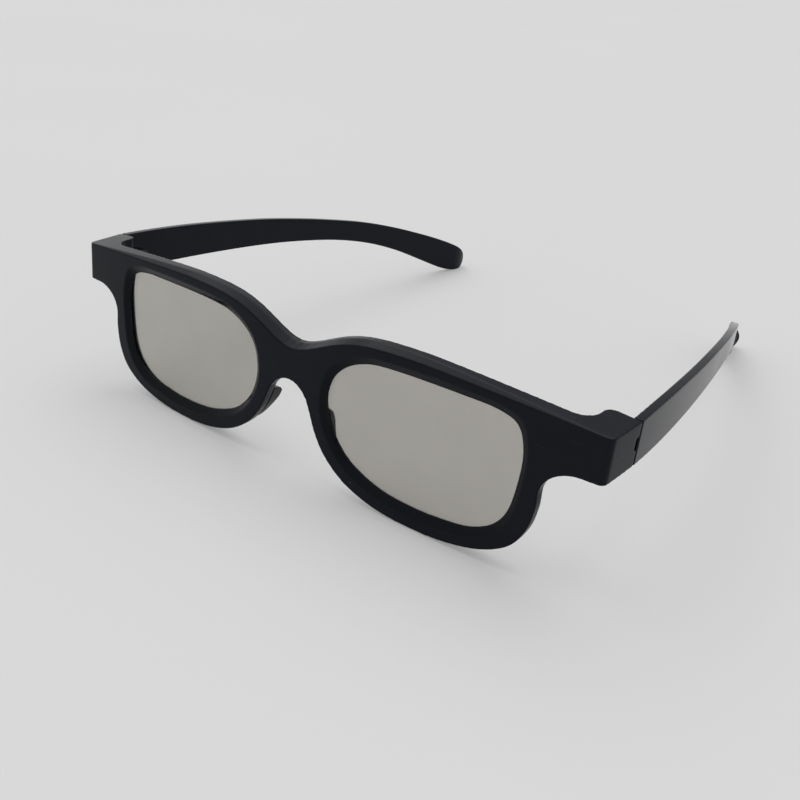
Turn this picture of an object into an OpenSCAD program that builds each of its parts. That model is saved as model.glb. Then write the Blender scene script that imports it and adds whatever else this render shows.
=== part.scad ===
// Passive 3d glasses with folding temples.
// Everything is drawn in the front's own frame: X across, Y towards the back
// and Z up the front, with the rim bottoms at Z = 0. world() then leans the
// pair back until the rims and the temple tips stand on one floor.

/* [Front] */
// Rim width above the lens opening
rim_top = 4.4; // [4:0.1:5]
// Rim width below the lens opening
rim_bottom = 4.5; // [4.2:0.1:5.2]
// Rim width beside the lens opening
rim_side = 5.1; // [4.8:0.1:5.4]
// Width of a corner beyond the lens opening
corner_w = 16.65; // [16.15:0.05:17.15]
// Height of a corner
corner_h = 9.2; // [8.9:0.1:9.7]
// Dip of the top edge over the bridge
bridge_dip = 7; // [6.2:0.1:7.8]
// Height of the bridge above the nose arch
bridge_h = 8.1; // [7.3:0.1:8.8]
// Fall of the top edge from the brow to the corner
brow_fall = 2.6; // [2.2:0.1:2.8]
// Depth of the bevel along the top edge, front to back
bevel_y = 2.2; // [1.6:0.1:2.4]
// Drop of the front face below the top edge at that bevel
bevel_z = 0.9; // [0.5:0.1:1.1]
// Height of the lip that carries the top edge back over the rear frame
lip_h = 1.2; // [0.9:0.1:1.4]
// Thickness of the front frame
front_t = 2.2; // [2:0.1:2.6]
// Thickness of the rear frame
rear_t = 1.6; // [1.2:0.1:2]
// Radius of the gentle curve of the front, seen from above
wrap_r = 1180; // [1000:20:1600]

/* [Lenses] */
// Width of the lens opening
lens_w = 46.7; // [44:0.1:49]
// Height of the lens opening
lens_h = 27.8; // [26:0.1:30]
// Distance between the two openings over the nose
nose_gap = 21.1; // [20:0.1:22.5]
// Width of the bevel round the opening
lens_bevel = 1.9; // [1.4:0.1:2.2]
// Depth of that bevel
lens_bevel_y = 1.1; // [0.8:0.1:1.2]
// Overlap of the films behind the edge of the opening
film_lap = 1.5; // [1:0.1:1.7]
// Thickness of one film
film_t = 0.4; // [0.3:0.05:0.45]
// Clearance round the films in their seat
film_gap = 0.1; // [0.05:0.01:0.2]

/* [Corner blocks] */
// Back face of the corner blocks
block_y = 12.4; // [12:0.1:13.2]
// Thickness of a block behind its front corner
block_t = 6.3; // [6:0.1:6.6]
// Upward slope of a block towards its back, in degrees
block_rise = 5.4; // [4.8:0.1:6]
// How far the back of a block stands out past its front corner
block_out = 0.6; // [0.4:0.1:1]
// Rounding between the front and the outer side
end_round = 1.5; // [0.8:0.1:2]

/* [Nose rests] */
// How far the nose rests stand behind the rear frame
rest_out = 2; // [1.4:0.1:2.6]
// Width of a nose rest
rest_w = 1.9; // [1.6:0.1:2.4]

/* [Temples] */
// Thickness of a temple
temple_t = 1.9; // [1.8:0.1:2.6]
// Height of a temple at the hinge
temple_h = 9.2; // [8.8:0.1:9.5]
// How far the top edge of a temple stands above the block at the hinge
temple_up = 0; // [-0.1:0.05:0.1]
// Stretch of a temple before it bends down
temple_straight = 45; // [44:1:56]
// Upward slope of a temple against the front, in degrees
temple_rise = 1.6; // [1.2:0.1:2]
// Radius of the inward curve of a temple, seen from above
temple_r = 450; // [440:10:600]
// Inward angle of a temple where it leaves the hinge
temple_in = 2.3; // [1:0.1:2.6]
// Length of the outward flare at the tip
flare_len = 6; // [4:0.5:7]
// Radius of that flare
flare_r = 8; // [8:0.5:20]

/* [Hinges] */
// Distance of the pin axis from the back and inner faces of a block
pin_in = 2.2; // [2.1:0.1:2.3]
// Radius of a hinge pin
pin_r = 0.8; // [0.7:0.05:0.9]
// Running clearance of the pin in the knuckle, on the radius
pin_play = 0.05; // [0.03:0.01:0.08]
// Height of the lug below the slot for the knuckle
lug_h = 2.8; // [2.6:0.1:3]
// Height of that slot
slot_h = 3.4; // [3.2:0.1:3.6]
// Clearance above and below the knuckle
knuckle_play = 0.15; // [0.1:0.01:0.2]
// Clearance round the knuckle and between temple and block
swing_play = 0.3; // [0.25:0.01:0.35]

/* [Hidden] */

black = [0.10, 0.11, 0.12];
film_grey = [0.55, 0.54, 0.52];
steel = [0.70, 0.71, 0.72];

// Facets of the shallow curves and of the small round features
shallow_fn = 720;
small_fn = 48;
// Overrun of cutters past the faces that they cut
over = 1;
// Reach of cutters that pass the whole front
far = 60;

// Lens opening seen from its centre, in halves of its width and height
OPENING = [
    [1.00, 0.10], [1.00, 0.53], [0.92, 0.87], [0.72, 0.985], [0.41, 1.00], [0.06, 1.00],
    [-0.30, 0.985], [-0.56, 0.94], [-0.785, 0.79], [-0.94, 0.54], [-1.00, 0.20], [-0.98, -0.12],
    [-0.90, -0.40], [-0.75, -0.665], [-0.56, -0.83], [-0.30, -0.955], [0.06, -1.00], [0.37, -0.97],
    [0.62, -0.90], [0.825, -0.72], [0.95, -0.41],
];
// Lower edge of the rim from the nose to the temple side, in the same way
RIM = [
    [-0.96, -0.15], [-0.895, -0.37], [-0.79, -0.59], [-0.63, -0.78], [-0.45, -0.90], [-0.235, -0.975],
    [0.05, -1.00], [0.34, -0.975], [0.62, -0.88], [0.835, -0.70], [0.945, -0.45], [0.985, -0.175],
];
// Edges of a temple: distance behind its hinge end and height against its top edge there
TEMPLE_TOP = [
    [0, 0], [10, 0.1], [25, -0.2], [46, -1.3], [60, -2.6], [73, -4.2], [86, -6.2], [98, -8.9], [109, -12],
    [118, -14.9],
];
TEMPLE_TIP = [[125.2, -17.8], [129.6, -20.7], [130.8, -23.6], [128.8, -25.9], [125, -26.4]];
TEMPLE_LOW = [
    [119.5, -25.2], [111, -21.6], [100, -17], [88, -13.3], [75, -10.9], [60, -9.6], [46, -9.1], [28, -9.1],
    [12, -9.3],
];
bend_start = 46;

// Centre of the left lens, with the rim bottoms at Z = 0
lens_x = (nose_gap + lens_w) / 2;
lens_z = rim_bottom + lens_h / 2;
// Half of the width over the front corners, and the faces of the left block
end_x = lens_x + lens_w / 2 + corner_w;
block_x = end_x - block_t;
block_out_x = end_x + block_out;
// Heights at Y = 0: top edge over the lenses and at the bridge, nose arch, lower edge of the corners
brow_z = lens_z + lens_h / 2 + rim_top;
bridge_z = brow_z - bridge_dip;
arch_z = bridge_z - bridge_h;
end_z = brow_z - brow_fall - corner_h;
// Top edge of a temple at the hinge
temple_z = brow_z - brow_fall + block_y * tan(block_rise) + temple_up;

// Dip of the top edge over the bridge: its half width and its power
dip_more = 1.65;
dip_x = nose_gap / 2 + dip_more;
dip_power = 1.8;
// Fall of the top edge to the corner: how far inside the lens centre it starts, and its power
fall_in = 1;
fall_x = lens_x - fall_in;
fall_power = 1.3;

// Hinge pin, sunk a little into the lower lug and held in the upper one
pin_sunk = 0.2;
pin_hold = 1.9;
pin_x = block_x + pin_in;
pin_y = block_y - pin_in;
pin_foot = end_z + pin_y * tan(block_rise);
slot_z = pin_foot + lug_h;
pin_low = pin_foot + pin_sunk;
pin_top = slot_z + slot_h + pin_hold;
// Round end of the knuckle on the pin, drawn back a little from the faces of the block
knuckle_back = 0.1;
knuckle_r = pin_in - knuckle_back;
slot_r = knuckle_r + swing_play;
// Hinge end of a temple, and the length of the knuckle's root along it
temple_y = block_y + swing_play;
knuckle_root = 3.2;
// Notch across the back edge of a block, level with the knuckle
notch_y = 0.9;

// Back of the rear frame, and where it stops short of the hollow beside a corner block
rear_w = front_t + rear_t;
seam_gap = 0.2;
hollow_r = 4;
block_start = block_x - hollow_r;
// Gap between the rear frame and the lip over it
lip_gap = 0.1;
// Curve under each corner: its distance from the end of the corner and its lower end
under_end = 4.4;
under_up = 0.3;
under_z = lens_z + under_up;
// Pegs that hold the rear frame on the front frame, beside the openings
peg_r = 0.7;
peg_gap = 0.05;
peg_in = 1.2;
peg_edge = 3.1;
PEGS = [
    [lens_x + lens_w / 2 + peg_edge, end_z + corner_h / 2],
    [nose_gap / 2 - peg_edge, arch_z + bridge_h / 2],
];
// The rear frame stands back from the lens openings, more behind the land that clamps the films, and
// from the lower edge of the rims
rear_clear = 1;
rear_clear_back = 2;
rear_land = 0.5;
rear_inset = 1.2;

// Lean that brings rims and temple tips to one floor
rim_y = wrap_y(lens_x);
rim_z = rim_y * tan(block_rise);
tip_low = temple_point(TEMPLE_TIP[4]);
tip_end = temple_point(TEMPLE_TIP[2]);
lean = atan2(tip_low[1] - rim_z, tip_low[0] - rim_y);
// Foremost point of the leaned rims, and the middle of the leaned length
lead_y = 0.4;
mid_y = (tip_end[0] * cos(lean) + tip_end[1] * sin(lean) + lead_y) / 2;

// Depth of the curved front behind its middle
function wrap_y(x) = wrap_r - sqrt(wrap_r * wrap_r - x * x);
// Height of the front's top edge at Y = 0
function brow(x) = bridge_z + (brow_z - bridge_z) * (1 - exp(-pow(x / dip_x, dip_power)))
    - brow_fall * pow(max(0, x - fall_x) / (end_x - fall_x), fall_power);
// Drop below that edge of the bevel along it, which runs out towards the corners
function bevel_drop(x) = bevel_z * (1 - pow(x / end_x, 2) + wrap_y(x) / bevel_y);
// Point between b and c on the smooth curve through a, b, c and d
function curve(a, b, c, d, t) = 0.5 * (2 * b + (c - a) * t + (2 * a - 5 * b + 4 * c - d) * t * t
    + (3 * b - a - 3 * c + d) * t * t * t);
// Smooth closed curve through points
function loop(p, n) = let (k = len(p))
    [for (i = [0:k - 1], j = [0:n - 1])
        curve(p[(i + k - 1) % k], p[i], p[(i + 1) % k], p[(i + 2) % k], j / n)];
// Smooth open curve through points
function run(p, n) = let (k = len(p) - 1)
    concat([for (i = [0:k - 1], j = [0:n - 1])
        curve(p[max(0, i - 1)], p[i], p[i + 1], p[min(k, i + 2)], j / n)], [p[k]]);
function reversed(p) = [for (i = [len(p) - 1:-1:0]) p[i]];
function mirrored(p) = [for (q = reversed(p)) [-q[0], q[1]]];
// Arc about a centre between two angles
function arc(c, r, a0, a1, n) = [for (i = [0:n]) let (a = a0 + (a1 - a0) * i / n) c + r * [cos(a), sin(a)]];
// Lower edge of the rim on the left side, drawn in by an inset
function rim_points(inset) = let (a = lens_w / 2 + rim_side - inset, b = lens_h / 2 + rim_bottom - inset)
    [for (q = RIM) [lens_x + q[0] * a, lens_z + q[1] * b]];
// Place in the side view of a point of a temple's edge
function along(d) = d < bend_start ? d * temple_straight / bend_start : d + temple_straight - bend_start;
function temple_point(q) = let (d = along(q[0])) [temple_y + d, temple_z + q[1] + d * tan(temple_rise)];

// Leans the pair onto the floor and centres it
module world() {
    translate([0, -mid_y, rim_y * sin(lean) - rim_z * cos(lean)])
        rotate([-lean, 0, 0])
            children();
}

// The left side is drawn, and the right side is its mirror image
module right_side() {
    mirror([1, 0, 0])
        children();
}

module both_sides() {
    children();
    right_side()
        children();
}

// A front view outline, carried from one depth back to another
module front_view(y0, y1) {
    translate([0, y1, 0])
        rotate([90, 0, 0])
            linear_extrude(height = y1 - y0)
                children();
}

// A side view outline, carried across from one place to another
module side_view(x0, x1) {
    translate([x0, 0, 0])
        rotate([90, 0, 90])
            linear_extrude(height = x1 - x0)
                children();
}

// Layer between two depths behind the curved front
module wrap_layer(w0, w1) {
    translate([0, wrap_r, -over])
        difference() {
            cylinder(r = wrap_r - w0, h = far, $fn = shallow_fn);
            translate([0, 0, -over])
                cylinder(r = wrap_r - w1, h = far + 2 * over, $fn = shallow_fn);
        }
}

// Everything within a distance from the middle
module across(reach) {
    translate([-reach, -over, -over])
        cube([2 * reach, far, far]);
}

// A front view outline carried back along an upward slope, its heights true at Y = 0
module swept(slope, points) {
    rotate([90 + slope, 0, 0])
        translate([0, 0, -far])
            linear_extrude(height = 2 * far)
                polygon([for (q = points) [q[0], q[1] * cos(slope)]]);
}

// Everything over the lower edge of the front, with that edge drawn in by an inset
module over_rims(inset) {
    wide = block_out_x + over;
    high = brow_z + over;
    rim = rim_points(inset);
    out = rim[len(rim) - 1][0];
    under_x = end_x - under_end;
    under = [for (a = [90:-9:9]) [under_x - (under_x - out) * cos(a), under_z + (end_z - under_z) * sin(a)]];
    edge = run(concat(rim, [[out, under_z]]), 5);
    nose = rim[0];
    arch_more = 0.5;
    arch_a = nose[0] + arch_more;
    arch_b = (arch_z - nose[1]) / (1 - sqrt(1 - pow(nose[0] / arch_a, 2)));
    arch = [for (i = [4:-1:0]) let (x = nose[0] * i / 5)
        [x, arch_z - arch_b * (1 - sqrt(1 - pow(x / arch_a, 2)))]];
    half = concat([[0, high], [wide, high], [wide, end_z]], under, reversed(edge), arch);
    swept(block_rise, concat(half, mirrored([for (i = [1:len(half) - 2]) half[i]])));
}

// Everything under the top edge, which is sunk by a distance, or as the bevel drops, and carried back
// along a slope
module under_brow(slope, sink, bevelled) {
    step = 2;
    count = ceil((block_out_x + over) / step);
    edge = [for (i = [-count:count]) let (x = abs(i) * step)
        [i * step, brow(x) - sink - (bevelled ? bevel_drop(x) : 0)]];
    swept(slope, concat([[-count * step, -far]], edge, [[count * step, -far]]));
}

// Opening of the left lens, grown on every side
module opening(grow) {
    polygon(loop([for (q = OPENING)
        [lens_x + q[0] * (lens_w / 2 + grow), lens_z + q[1] * (lens_h / 2 + grow)]], 4));
}

// Cutter for the bevel round the left lens, square to the front at the lens centre
module lens_bevel_cut() {
    sink = 0.2;
    deep = lens_bevel_y + sink;
    narrow = lens_bevel * sink / lens_bevel_y;
    wide = lens_bevel * (1 + over / lens_bevel_y);
    a = lens_w / 2;
    b = lens_h / 2;
    translate([lens_x, wrap_y(lens_x) + deep, lens_z])
        rotate([0, 0, asin(lens_x / wrap_r)])
            rotate([90, 0, 0])
                linear_extrude(height = deep + over, slices = 1,
                        scale = [(a + wide) / (a - narrow), (b + wide) / (b - narrow)])
                    polygon(loop([for (q = OPENING) [q[0] * (a - narrow), q[1] * (b - narrow)]], 4));
}

// One of the two films behind the left opening
module film(w0, w1) {
    intersection() {
        front_view(-over, far / 4)
            opening(film_lap - film_gap);
        wrap_layer(w0, w1);
    }
}

// Plan of the left corner block
module block_plan() {
    round_x = end_x - end_round;
    round_y = wrap_r - sqrt(pow(wrap_r - end_round, 2) - round_x * round_x);
    hollow_y = wrap_y(block_start) + rear_w + hollow_r;
    polygon(concat(
        [[block_start, -over]],
        arc([round_x, round_y], end_round, asin(round_x / (wrap_r - end_round)) - 90, 0, 8),
        [[block_out_x, block_y]],
        arc([pin_x, pin_y], pin_in, 90, 180, 8),
        arc([block_start, hollow_y], hollow_r, 0, -90, 6)
    ));
}

// Room in the left corner block for the knuckle to swing in
module knuckle_slot() {
    translate([0, 0, slot_z])
        linear_extrude(height = slot_h) {
            translate([pin_x, pin_y])
                circle(r = slot_r, $fn = small_fn);
            translate([pin_x - slot_r, pin_y])
                square([2 * slot_r, pin_in + over]);
            translate([block_start - over, pin_y - slot_r])
                square([pin_x - block_start + over, slot_r + pin_in + over]);
        }
    translate([pin_x, block_y - notch_y, slot_z + slot_h / 4])
        cube([block_out_x - pin_x + over, notch_y + over, slot_h * 3 / 4]);
}

// Everything cut from the left half of the front frame
module front_cuts() {
    front_view(-over, block_y)
        opening(0);
    lens_bevel_cut();
    intersection() {
        front_view(-over, far / 4)
            opening(film_lap);
        wrap_layer(front_t - 2 * film_t, rear_w);
    }
    pegs(peg_r + peg_gap, peg_in + peg_gap);
    knuckle_slot();
    translate([pin_x, pin_y, 0])
        cylinder(r = pin_r, h = pin_top, $fn = small_fn);
}

module pegs(r, deep) {
    for (p = PEGS)
        translate([p[0], wrap_y(p[0]) + front_t - deep, p[1]])
            rotate([-90, 0, 0])
                cylinder(r = r, h = deep + rear_t / 2, $fn = small_fn);
}

module front_frame() {
    color(black)
        world()
            difference() {
                intersection() {
                    over_rims(0);
                    under_brow(block_rise, 0, false);
                    under_brow(atan(bevel_z / bevel_y + tan(block_rise)), 0, true);
                    union() {
                        intersection() {
                            wrap_layer(0, front_t);
                            across(block_start + over);
                        }
                        difference() {
                            intersection() {
                                wrap_layer(front_t / 2, rear_w);
                                across(block_start + over);
                            }
                            under_brow(block_rise, lip_h, false);
                        }
                        both_sides()
                            intersection() {
                                linear_extrude(height = far)
                                    block_plan();
                                wrap_layer(0, block_y + over);
                            }
                    }
                }
                both_sides()
                    front_cuts();
            }
}

module rear_frame() {
    color(black)
        world() {
            difference() {
                intersection() {
                    over_rims(rear_inset);
                    under_brow(block_rise, lip_h + lip_gap, false);
                    wrap_layer(front_t, rear_w);
                    across(block_start - seam_gap);
                }
                both_sides() {
                    front_view(-over, far / 4)
                        opening(rear_clear);
                    intersection() {
                        front_view(-over, far / 4)
                            opening(rear_clear_back);
                        wrap_layer(front_t + rear_land, rear_w + over);
                    }
                }
            }
            both_sides() {
                pegs(peg_r, peg_in);
                nose_rest();
            }
        }
}

// Rest along the nose side of the left rim, just behind the front frame: it deepens upwards and ends square
module nose_rest() {
    root = front_t + lip_gap;
    back = rear_w + rest_out;
    low_z = lens_z - lens_h * 0.37;
    full_z = lens_z - lens_h * 0.17;
    high_z = lens_z - lens_h * 0.08;
    shoulder = 0.8;
    intersection() {
        difference() {
            over_rims(0);
            translate([rest_w, 0, 0])
                over_rims(0);
        }
        side_view(0, lens_x)
            polygon([
                [root, low_z], [rear_w, low_z + shoulder], [back, full_z], [back, high_z - shoulder],
                [back - shoulder, high_z], [root, high_z + shoulder],
            ]);
    }
}

// Left temple with its knuckle
module temple() {
    edge = run([for (q = concat(TEMPLE_TOP, TEMPLE_TIP, TEMPLE_LOW, [[0, -temple_h]])) temple_point(q)], 4);
    knuckle_z = slot_z + knuckle_play;
    knuckle_h = slot_h - 2 * knuckle_play;
    inner_x = block_out_x - temple_t;
    difference() {
        union() {
            intersection() {
                side_view(lens_x, block_out_x + over)
                    polygon(edge);
                temple_shell();
            }
            translate([0, 0, knuckle_z])
                linear_extrude(height = knuckle_h) {
                    translate([pin_x, pin_y])
                        circle(r = knuckle_r, $fn = small_fn);
                    translate([pin_x - knuckle_r, pin_y])
                        square([2 * knuckle_r, pin_in + swing_play + knuckle_root]);
                    translate([pin_x, temple_y])
                        square([inner_x + temple_t / 4 - pin_x, knuckle_root]);
                }
        }
        translate([pin_x, pin_y, knuckle_z - over])
            cylinder(r = pin_r + pin_play, h = knuckle_h + 2 * over, $fn = small_fn);
    }
}

// Upright ring about a centre in the plan
module upright_ring(centre, inside_r, outside_r) {
    translate([centre[0], centre[1], -over])
        difference() {
            cylinder(r = outside_r, h = far, $fn = shallow_fn);
            translate([0, 0, -over])
                cylinder(r = inside_r, h = far + 2 * over, $fn = shallow_fn);
        }
}

// Upright curved sheet that the left temple is cut from: it bends inwards and flares outwards at the tip
module temple_shell() {
    bend_c = [block_out_x, temple_y] - temple_r * [cos(temple_in), sin(temple_in)];
    turn = asin((tip_end[0] - flare_len - bend_c[1]) / temple_r);
    flare_c = bend_c + (temple_r + flare_r) * [cos(turn), sin(turn)];
    difference() {
        upright_ring(bend_c, temple_r - temple_t, temple_r);
        past_turn(bend_c, turn);
    }
    intersection() {
        upright_ring(flare_c, flare_r, flare_r + temple_t);
        past_turn(bend_c, turn);
    }
}

// Everything behind the line where the flare of the left temple starts, as far out as its centre
module past_turn(centre, turn) {
    translate([centre[0], centre[1], -2 * over])
        rotate([0, 0, turn])
            translate([temple_r + flare_r - far, 0, 0])
                cube([far, far, far + 4 * over]);
}

module hinge_pin() {
    translate([pin_x, pin_y, pin_low])
        cylinder(r = pin_r, h = pin_top - pin_low, $fn = small_fn);
}

module left_retarder_film() {
    color(film_grey)
        world()
            film(front_t - 2 * film_t, front_t - film_t);
}

module right_retarder_film() {
    color(film_grey)
        world()
            right_side()
                film(front_t - 2 * film_t, front_t - film_t);
}

module left_polariser_film() {
    color(film_grey)
        world()
            film(front_t - film_t, front_t);
}

module right_polariser_film() {
    color(film_grey)
        world()
            right_side()
                film(front_t - film_t, front_t);
}

module left_temple() {
    color(black)
        world()
            temple();
}

module right_temple() {
    color(black)
        world()
            right_side()
                temple();
}

module left_hinge_pin() {
    color(steel)
        world()
            hinge_pin();
}

module right_hinge_pin() {
    color(steel)
        world()
            right_side()
                hinge_pin();
}

front_frame();
rear_frame();
left_retarder_film();
right_retarder_film();
left_polariser_film();
right_polariser_film();
left_temple();
right_temple();
left_hinge_pin();
right_hinge_pin();
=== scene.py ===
import math

import bpy
from mathutils import Euler, Matrix, Vector


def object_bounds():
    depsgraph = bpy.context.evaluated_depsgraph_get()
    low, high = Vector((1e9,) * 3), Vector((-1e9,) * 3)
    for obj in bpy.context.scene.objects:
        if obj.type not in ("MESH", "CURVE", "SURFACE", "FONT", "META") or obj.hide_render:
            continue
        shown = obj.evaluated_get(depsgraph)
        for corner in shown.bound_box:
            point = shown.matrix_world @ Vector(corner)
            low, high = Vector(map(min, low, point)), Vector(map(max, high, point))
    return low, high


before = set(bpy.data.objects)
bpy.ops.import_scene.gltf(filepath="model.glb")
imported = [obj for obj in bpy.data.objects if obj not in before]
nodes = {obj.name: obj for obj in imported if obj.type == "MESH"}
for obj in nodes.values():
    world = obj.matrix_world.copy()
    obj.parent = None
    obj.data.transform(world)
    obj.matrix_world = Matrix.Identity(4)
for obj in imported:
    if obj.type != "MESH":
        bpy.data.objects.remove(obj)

cad_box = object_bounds()

MM = 0.001
SIDES = ("left", "right")

# Moulded edges: each plastic node is resampled on a grid, relaxed until its edges are round, and thinned
WELD_DISTANCE = 0.002 * MM
GRID = 0.12 * MM
RELAX_FACTOR = 0.6
RELAX_PASSES = 20
KEPT_SHARE = 0.3

# Lens films: each layer stands this far inside its own faces, so that the two never coincide
FILM_INSET = 0.01 * MM

# Noise patterns: the size of the blotches, and the detail
CLOUD = (14 * MM, 3)
GRAIN = (0.26 * MM, 3)
PEEL = (2.4 * MM, 1)
HAIRLINE = (0.5 * MM, 1)
FILM_CLOUD = (9 * MM, 2)
SMEAR = (6 * MM, 4)
STEEL_GRAIN = (0.08 * MM, 2)
PAPER_CLOUD = (300 * MM, 2)

# Bumps: the height, and the strength
PEEL_BUMP = (0.01 * MM, 0.5)
GRAIN_BUMP = (0.009 * MM, 0.7)
STEEL_BUMP = (0.003 * MM, 0.4)

# Spans: the noise values between which a pattern goes from its first tone to its second, and a mask's ends
TONE_SPAN = (0.3, 0.7)
SMEAR_SPAN = (0.35, 0.7)
RISE = (0, 1)
FALL = (1, 0)

# Black plastic: satin on the front, glossier on the temples
BLACKS = ((0.005, 0.0068, 0.0105), (0.0064, 0.0084, 0.0125))
SATIN_ROUGHNESS = (0.2, 0.28)
SATIN_SPECULAR = 0.1
GLOSS_ROUGHNESS = (0.12, 0.18)
GLOSS_SPECULAR = 0.14

# Hairlines: noise drawn out along one direction, shown only where it peaks
HAIRLINE_COLOUR = (0.012, 0.014, 0.017, 1)
HAIRLINE_TURN = Euler((0.3, 0.5, 0.7))
HAIRLINE_STRETCH = (0.05, 1, 1)
HAIRLINE_SPAN = (0.71, 0.75)

# Dust: a speck at the heart of each cell of a Voronoi pattern, with its radius in cells
DUST_COLOUR = (0.09, 0.09, 0.088, 1)
DUST_SPACING = 6 * MM
DUST_RADIUS = (0.02, 0.03)

# Slopes round the lenses, glossier and with painted shade in their colour: the Y of their normals where
# they begin and end, and their reach from the middle
BEVEL_PAINTED_SHADE = (0.0036, 0.0046, 0.007, 1)
BEVEL_SHINE = 0.07
BEVEL_BEGINS = (-0.97, -0.93)
BEVEL_ENDS = (-0.8, -0.72)
BEVEL_REACH = (62 * MM, 65 * MM)

# Lens layers
POLARISER_TINTS = ((0.702, 0.689, 0.658), (0.712, 0.699, 0.668))
RETARDER_TINTS = ((0.98, 0.98, 0.975), (0.985, 0.985, 0.98))
SMEAR_ROUGHNESS = (0.03, 0.09)
FILM_IOR = 1.45

# Pin steel
STEEL_TONES = ((0.42, 0.42, 0.43), (0.6, 0.6, 0.6))
STEEL_ROUGHNESS = (0.22, 0.4)

# Camera, as the photograph was taken
CAMERA_PLACE = Vector((126.65, -198.58, 111.26)) * MM
CAMERA_AZIMUTH = math.radians(36.79)
CAMERA_ELEVATION = math.radians(27.53)
CAMERA_ROLL = math.radians(3.14)
CAMERA_NEAR = 1 * MM
FOCAL_PIXELS = 924.1
IMAGE_PIXELS = 800
SENSOR = 36

# Floor, just clear of the part, with a share of painted light where it is seen, which lightens the shadows
# cast on it
FLOOR_GAP = 0.02 * MM
FLOOR_HALF = 5.0
PAPER_TONES = ((0.705, 0.705, 0.708), (0.725, 0.725, 0.728))
PAPER_ROUGHNESS = 0.9
PAPER_SPECULAR = 0.1
FLOOR_PAINTED_LIGHT = (0.72, 0.72, 0.722, 1)
PAINTED_LIGHT_SHARES = (0, 0.3)

# Light
SOFTBOX_POWER = 1.25
SOFTBOX_SPREAD = math.radians(66)
SOFTBOX_SIDE = Vector((-0.25, 0.3, 0.9))
ROOM_COLOUR = (0.7, 0.7, 0.705, 1)
# Parts of the room that the black shows: a direction, the cosines where it fades in and is full, a colour
ROOM_PATCHES = (
    (Vector((-0.8, 0.53, 0.28)), (0.75, 1.0), (0.95, 0.95, 0.95, 1)),
    (Vector((-0.24, 0.89, 0.38)), (0.85, 0.98), (0.4, 0.4, 0.405, 1)),
    (Vector((0.45, -0.5, 0.7)), (0.75, 0.97), (0.1, 0.1, 0.105, 1)),
)


class Paint:
    """The nodes of a material or a world, with one call that adds a node and fills its inputs."""

    def __init__(self, owner):
        owner.use_nodes = True
        self.owner = owner
        self.tree = owner.node_tree
        self.tree.nodes.clear()

    def add(self, kind, inputs=None, **settings):
        node = self.tree.nodes.new(kind)
        for key, value in settings.items():
            setattr(node, key, value)
        for key, value in (inputs or {}).items():
            if isinstance(value, bpy.types.NodeSocket):
                self.tree.links.new(value, node.inputs[key])
            else:
                node.inputs[key].default_value = value
        return node

    def coordinates(self, kind):
        return self.add("ShaderNodeTexCoord").outputs[kind]

    def axis(self, name, vector):
        return self.add("ShaderNodeSeparateXYZ", {"Vector": vector}).outputs[name]

    def noise(self, size, detail, vector=None):
        """Cloudy noise whose blotches are about size metres across."""
        inputs = {"Vector": vector or self.coordinates("Object"), "Scale": 1 / size, "Detail": detail}
        return self.add("ShaderNodeTexNoise", inputs).outputs["Fac"]

    def remap(self, value, span, to_span):
        """The value moved from one span to another, and held at its ends."""
        node = self.add("ShaderNodeMapRange", {"Value": value})
        for key, number in zip(("From Min", "From Max", "To Min", "To Max"), (*span, *to_span)):
            node.inputs[key].default_value = number
        return node.outputs["Result"]

    def tones(self, noise, colours):
        """From the first colour to the second as the noise rises."""
        node = self.add("ShaderNodeValToRGB", {"Fac": noise})
        for element, place, colour in zip(node.color_ramp.elements, TONE_SPAN, colours):
            element.position = place
            element.color = (*colour, 1)
        return node.outputs["Color"]

    def blend_colours(self, factor, first, second):
        """Two colours mixed: the Mix node takes them at inputs 6 and 7 and gives output 2."""
        inputs = {0: factor, 6: first, 7: second}
        return self.add("ShaderNodeMix", inputs, data_type="RGBA").outputs[2]

    def blend_values(self, factor, first, second):
        """Two numbers mixed: the Mix node takes them at inputs 2 and 3 and gives output 0."""
        return self.add("ShaderNodeMix", {0: factor, 2: first, 3: second}).outputs[0]

    def blend_shaders(self, factor, first, second):
        return self.add("ShaderNodeMixShader", {0: factor, 1: first.outputs[0], 2: second.outputs[0]})

    def calculate(self, operation, *values):
        return self.add("ShaderNodeMath", dict(enumerate(values)), operation=operation).outputs[0]

    def bump(self, height, distance, strength, normal=None):
        inputs = {"Height": height, "Distance": distance, "Strength": strength}
        if normal:
            inputs["Normal"] = normal
        return self.add("ShaderNodeBump", inputs).outputs["Normal"]

    def finish(self, shader, output="ShaderNodeOutputMaterial"):
        self.add(output, {"Surface": shader.outputs[0]})
        return self.owner


def hairlines(paint):
    """A mask of fine scratches."""
    along = paint.add("ShaderNodeMapping", {
        "Vector": paint.coordinates("Object"),
        "Rotation": HAIRLINE_TURN,
        "Scale": HAIRLINE_STRETCH,
    })
    return paint.remap(paint.noise(*HAIRLINE, along.outputs["Vector"]), HAIRLINE_SPAN, RISE)


def dust(paint):
    """A mask of sparse specks."""
    cells = paint.add("ShaderNodeTexVoronoi", {
        "Vector": paint.coordinates("Object"),
        "Scale": 1 / DUST_SPACING,
    })
    return paint.remap(cells.outputs["Distance"], DUST_RADIUS, FALL)


def lens_slopes(paint):
    """A mask of the slopes round the lenses, for their gloss and their painted shade: tilted from straight
    ahead, not too steep, within reach.
    """
    facing = paint.axis("Y", paint.coordinates("Normal"))
    tilted = paint.remap(facing, BEVEL_BEGINS, RISE)
    not_steep = paint.remap(facing, BEVEL_ENDS, FALL)
    across = paint.calculate("ABSOLUTE", paint.axis("X", paint.coordinates("Object")))
    in_reach = paint.remap(across, BEVEL_REACH, FALL)
    sloped = paint.calculate("MULTIPLY", tilted, not_steep)
    return paint.calculate("MULTIPLY", sloped, in_reach)


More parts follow.
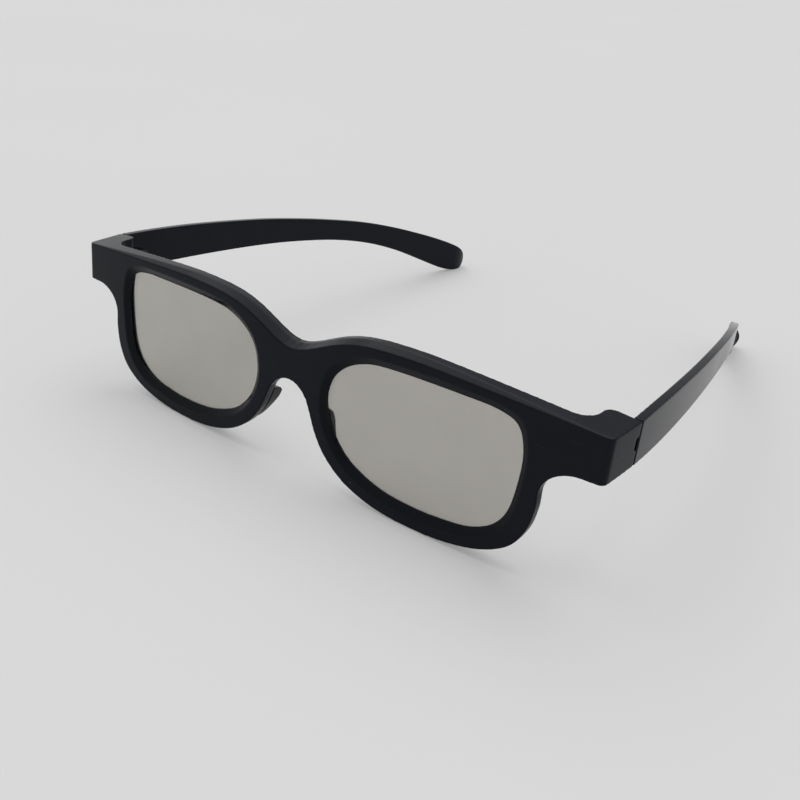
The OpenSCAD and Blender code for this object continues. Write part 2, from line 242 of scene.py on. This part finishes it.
def black_plastic(name, roughness_span, specular):
    """Moulded black plastic: fine grain over a faint orange peel, hairlines, dust, and glossier slopes
    painted darker as shade.
    """
    paint = Paint(bpy.data.materials.new(name))
    cloud = paint.noise(*CLOUD)
    slopes = lens_slopes(paint)
    colour = paint.tones(cloud, BLACKS)
    colour = paint.blend_colours(hairlines(paint), colour, HAIRLINE_COLOUR)
    colour = paint.blend_colours(dust(paint), colour, DUST_COLOUR)
    # painted shade: the slopes round the lenses get a darker colour than the rest of the plastic
    colour = paint.blend_colours(slopes, colour, BEVEL_PAINTED_SHADE)
    roughness = paint.remap(cloud, TONE_SPAN, roughness_span)
    normal = paint.bump(paint.noise(*PEEL), *PEEL_BUMP)
    return paint.finish(paint.add("ShaderNodeBsdfPrincipled", {
        "Base Color": colour,
        "Roughness": paint.blend_values(slopes, roughness, BEVEL_SHINE),
        "Specular IOR Level": specular,
        "Normal": paint.bump(paint.noise(*GRAIN), *GRAIN_BUMP, normal),
    }))


def film(name, tints):
    """A see-through lens layer: tinted pass-through under a smeared gloss, with none seen from inside."""
    paint = Paint(bpy.data.materials.new(name))
    tint = paint.tones(paint.noise(*FILM_CLOUD), tints)
    through = paint.add("ShaderNodeBsdfTransparent", {"Color": tint})
    smear = paint.remap(paint.noise(*SMEAR), SMEAR_SPAN, SMEAR_ROUGHNESS)
    gloss = paint.add("ShaderNodeBsdfGlossy", {"Roughness": smear})
    fresnel = paint.add("ShaderNodeFresnel", {"IOR": FILM_IOR}).outputs["Fac"]
    inside = paint.add("ShaderNodeNewGeometry").outputs["Backfacing"]
    return paint.finish(paint.blend_shaders(paint.blend_values(inside, fresnel, 0.0), through, gloss))


def pin_steel():
    """Steel wire with a fine mottle."""
    paint = Paint(bpy.data.materials.new("pin_steel_drawn"))
    grain = paint.noise(*STEEL_GRAIN)
    return paint.finish(paint.add("ShaderNodeBsdfPrincipled", {
        "Base Color": paint.tones(grain, STEEL_TONES),
        "Metallic": 1.0,
        "Roughness": paint.remap(grain, TONE_SPAN, STEEL_ROUGHNESS),
        "Normal": paint.bump(grain, *STEEL_BUMP),
    }))


def floor_paper():
    """Pale matt paper with the slightest mottle, and a painted glow that only the eye and reflections see,
    which lightens the shadows cast on it.
    """
    paint = Paint(bpy.data.materials.new("pale_floor"))
    paper = paint.add("ShaderNodeBsdfPrincipled", {
        "Base Color": paint.tones(paint.noise(*PAPER_CLOUD), PAPER_TONES),
        "Roughness": PAPER_ROUGHNESS,
        "Specular IOR Level": PAPER_SPECULAR,
    })
    # painted light: an emission that lifts the floor and its shadows where the camera and reflections see
    # it
    glow = paint.add("ShaderNodeEmission", {"Color": FLOOR_PAINTED_LIGHT})
    ray = paint.add("ShaderNodeLightPath").outputs
    seen = paint.calculate("MAXIMUM", ray["Is Camera Ray"], ray["Is Glossy Ray"])
    seen = paint.calculate("MAXIMUM", seen, ray["Is Transmission Ray"])
    return paint.finish(paint.blend_shaders(paint.remap(seen, RISE, PAINTED_LIGHT_SHARES), paper, glow))


def dress(obj, material):
    obj.data.materials.clear()
    obj.data.materials.append(material)


def soften(obj):
    """Round edges as a mould leaves them."""
    obj.modifiers.new("weld", "WELD").merge_threshold = WELD_DISTANCE
    grid = obj.modifiers.new("grid", "REMESH")
    grid.mode = "VOXEL"
    grid.voxel_size = GRID
    grid.use_smooth_shade = True
    relax = obj.modifiers.new("relax", "SMOOTH")
    relax.factor = RELAX_FACTOR
    relax.iterations = RELAX_PASSES
    obj.modifiers.new("thin", "DECIMATE").ratio = KEPT_SHARE


def inset(obj):
    """Draw a film's faces in along their normals."""
    shrink = obj.modifiers.new("inset", "DISPLACE")
    shrink.mid_level = 0
    shrink.strength = -FILM_INSET


def dress_plastic():
    satin = black_plastic("black_plastic_satin", SATIN_ROUGHNESS, SATIN_SPECULAR)
    gloss = black_plastic("black_plastic_gloss", GLOSS_ROUGHNESS, GLOSS_SPECULAR)
    finishes = {"front_frame": satin, "rear_frame": satin, "left_temple": gloss, "right_temple": gloss}
    for name, plastic in finishes.items():
        dress(nodes[name], plastic)
        soften(nodes[name])


def dress_lenses():
    layers = {
        "polariser_film": film("polariser_tint", POLARISER_TINTS),
        "retarder_film": film("retarder_clear", RETARDER_TINTS),
    }
    for side in SIDES:
        for layer, material in layers.items():
            node = nodes[f"{side}_{layer}"]
            dress(node, material)
            inset(node)


def dress_pins():
    steel = pin_steel()
    for side in SIDES:
        dress(nodes[f"{side}_hinge_pin"], steel)


def build_floor():
    mesh = bpy.data.meshes.new("floor")
    z = cad_box[0].z - FLOOR_GAP
    corners = [(x * FLOOR_HALF, y * FLOOR_HALF, z) for x, y in ((-1, -1), (1, -1), (1, 1), (-1, 1))]
    mesh.from_pydata(corners, [], [(0, 1, 2, 3)])
    obj = bpy.data.objects.new("floor", mesh)
    bpy.context.scene.collection.objects.link(obj)
    dress(obj, floor_paper())


def build_softbox():
    """A soft light high up behind the part."""
    lamp = bpy.data.lights.new("softbox", "SUN")
    lamp.energy = SOFTBOX_POWER
    lamp.angle = SOFTBOX_SPREAD
    obj = bpy.data.objects.new("softbox", lamp)
    obj.rotation_euler = SOFTBOX_SIDE.to_track_quat("Z", "Y").to_euler()
    bpy.context.scene.collection.objects.link(obj)


def build_room():
    """A pale room with a bright wall on the left, a dim one behind and a dark corner in front."""
    room = Paint(bpy.data.worlds.new("studio"))
    way = room.coordinates("Generated")
    colour = ROOM_COLOUR
    for side, span, patch in ROOM_PATCHES:
        dot = room.add("ShaderNodeVectorMath", {0: way, 1: side.normalized()}, operation="DOT_PRODUCT")
        colour = room.blend_colours(room.remap(dot.outputs["Value"], span, RISE), colour, patch)
    background = room.add("ShaderNodeBackground", {"Color": colour})
    bpy.context.scene.world = room.finish(background, "ShaderNodeOutputWorld")


def build_camera():
    data = bpy.data.cameras.new("camera")
    data.sensor_width = SENSOR
    data.lens = SENSOR * FOCAL_PIXELS / IMAGE_PIXELS
    data.clip_start = CAMERA_NEAR
    camera = bpy.data.objects.new("camera", data)
    aim = Euler((math.pi / 2 - CAMERA_ELEVATION, 0, CAMERA_AZIMUTH)).to_matrix().to_4x4()
    camera.matrix_world = Matrix.Translation(CAMERA_PLACE) @ aim @ Matrix.Rotation(CAMERA_ROLL, 4, "Z")
    bpy.context.scene.collection.objects.link(camera)
    bpy.context.scene.camera = camera


dress_plastic()
dress_lenses()
dress_pins()
build_floor()
build_softbox()
build_room()
build_camera()
bpy.context.scene.view_settings.view_transform = "Standard"

bpy.context.view_layer.update()
